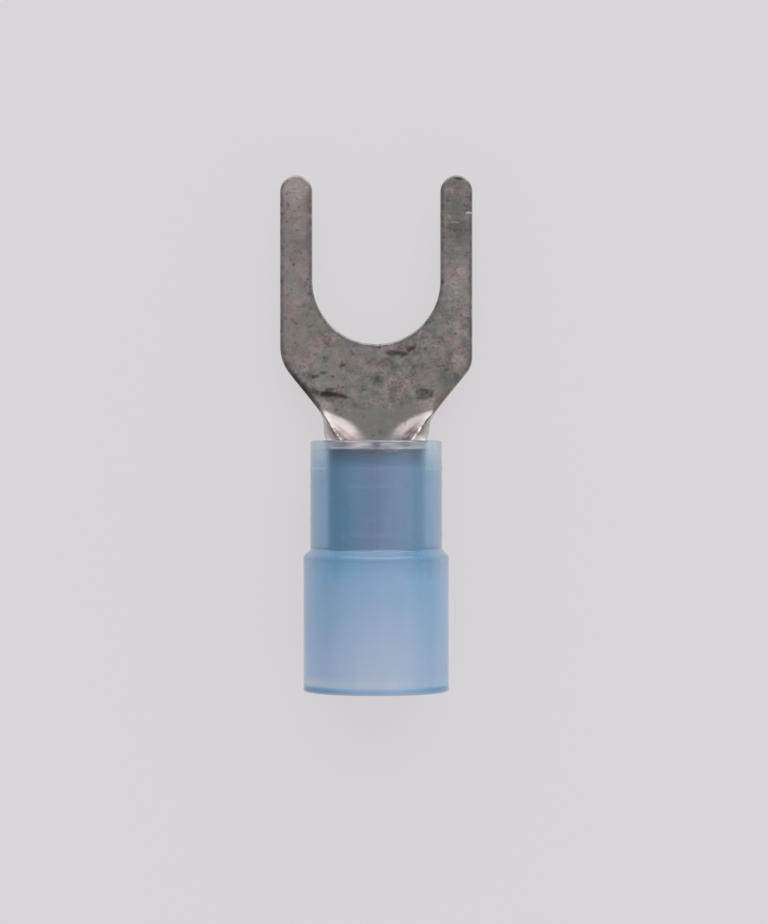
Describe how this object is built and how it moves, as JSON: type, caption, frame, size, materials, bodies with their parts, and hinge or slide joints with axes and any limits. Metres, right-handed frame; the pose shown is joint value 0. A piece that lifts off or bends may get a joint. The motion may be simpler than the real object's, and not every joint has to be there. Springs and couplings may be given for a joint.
{
  "type": "insulated fork terminal",
  "caption": "Forked crimp terminal of plated sheet metal whose rolled barrel sits in a stepped translucent nylon sleeve, to end a wire under a screw or stud.",
  "frame": {"origin": "centre of the stud seat at the closed end of the slot, on the underside of the tongue", "axes": "+Y along the terminal towards the tine tips, +Z normal to the tongue towards the barrel and its seam, +X across the tines"},
  "size_m": [0.008, 0.0213, 0.006],
  "materials": {
    "tin_plate": "matte tin plate over copper sheet, fine grained, with rubbed and stained patches",
    "blue_nylon": "translucent pale blue moulded nylon with a soft gloss"
  },
  "bodies": {
    "root": {"fork_terminal": "tin_plate", "insulating_sleeve": "blue_nylon"}
  },
  "joints": []
}
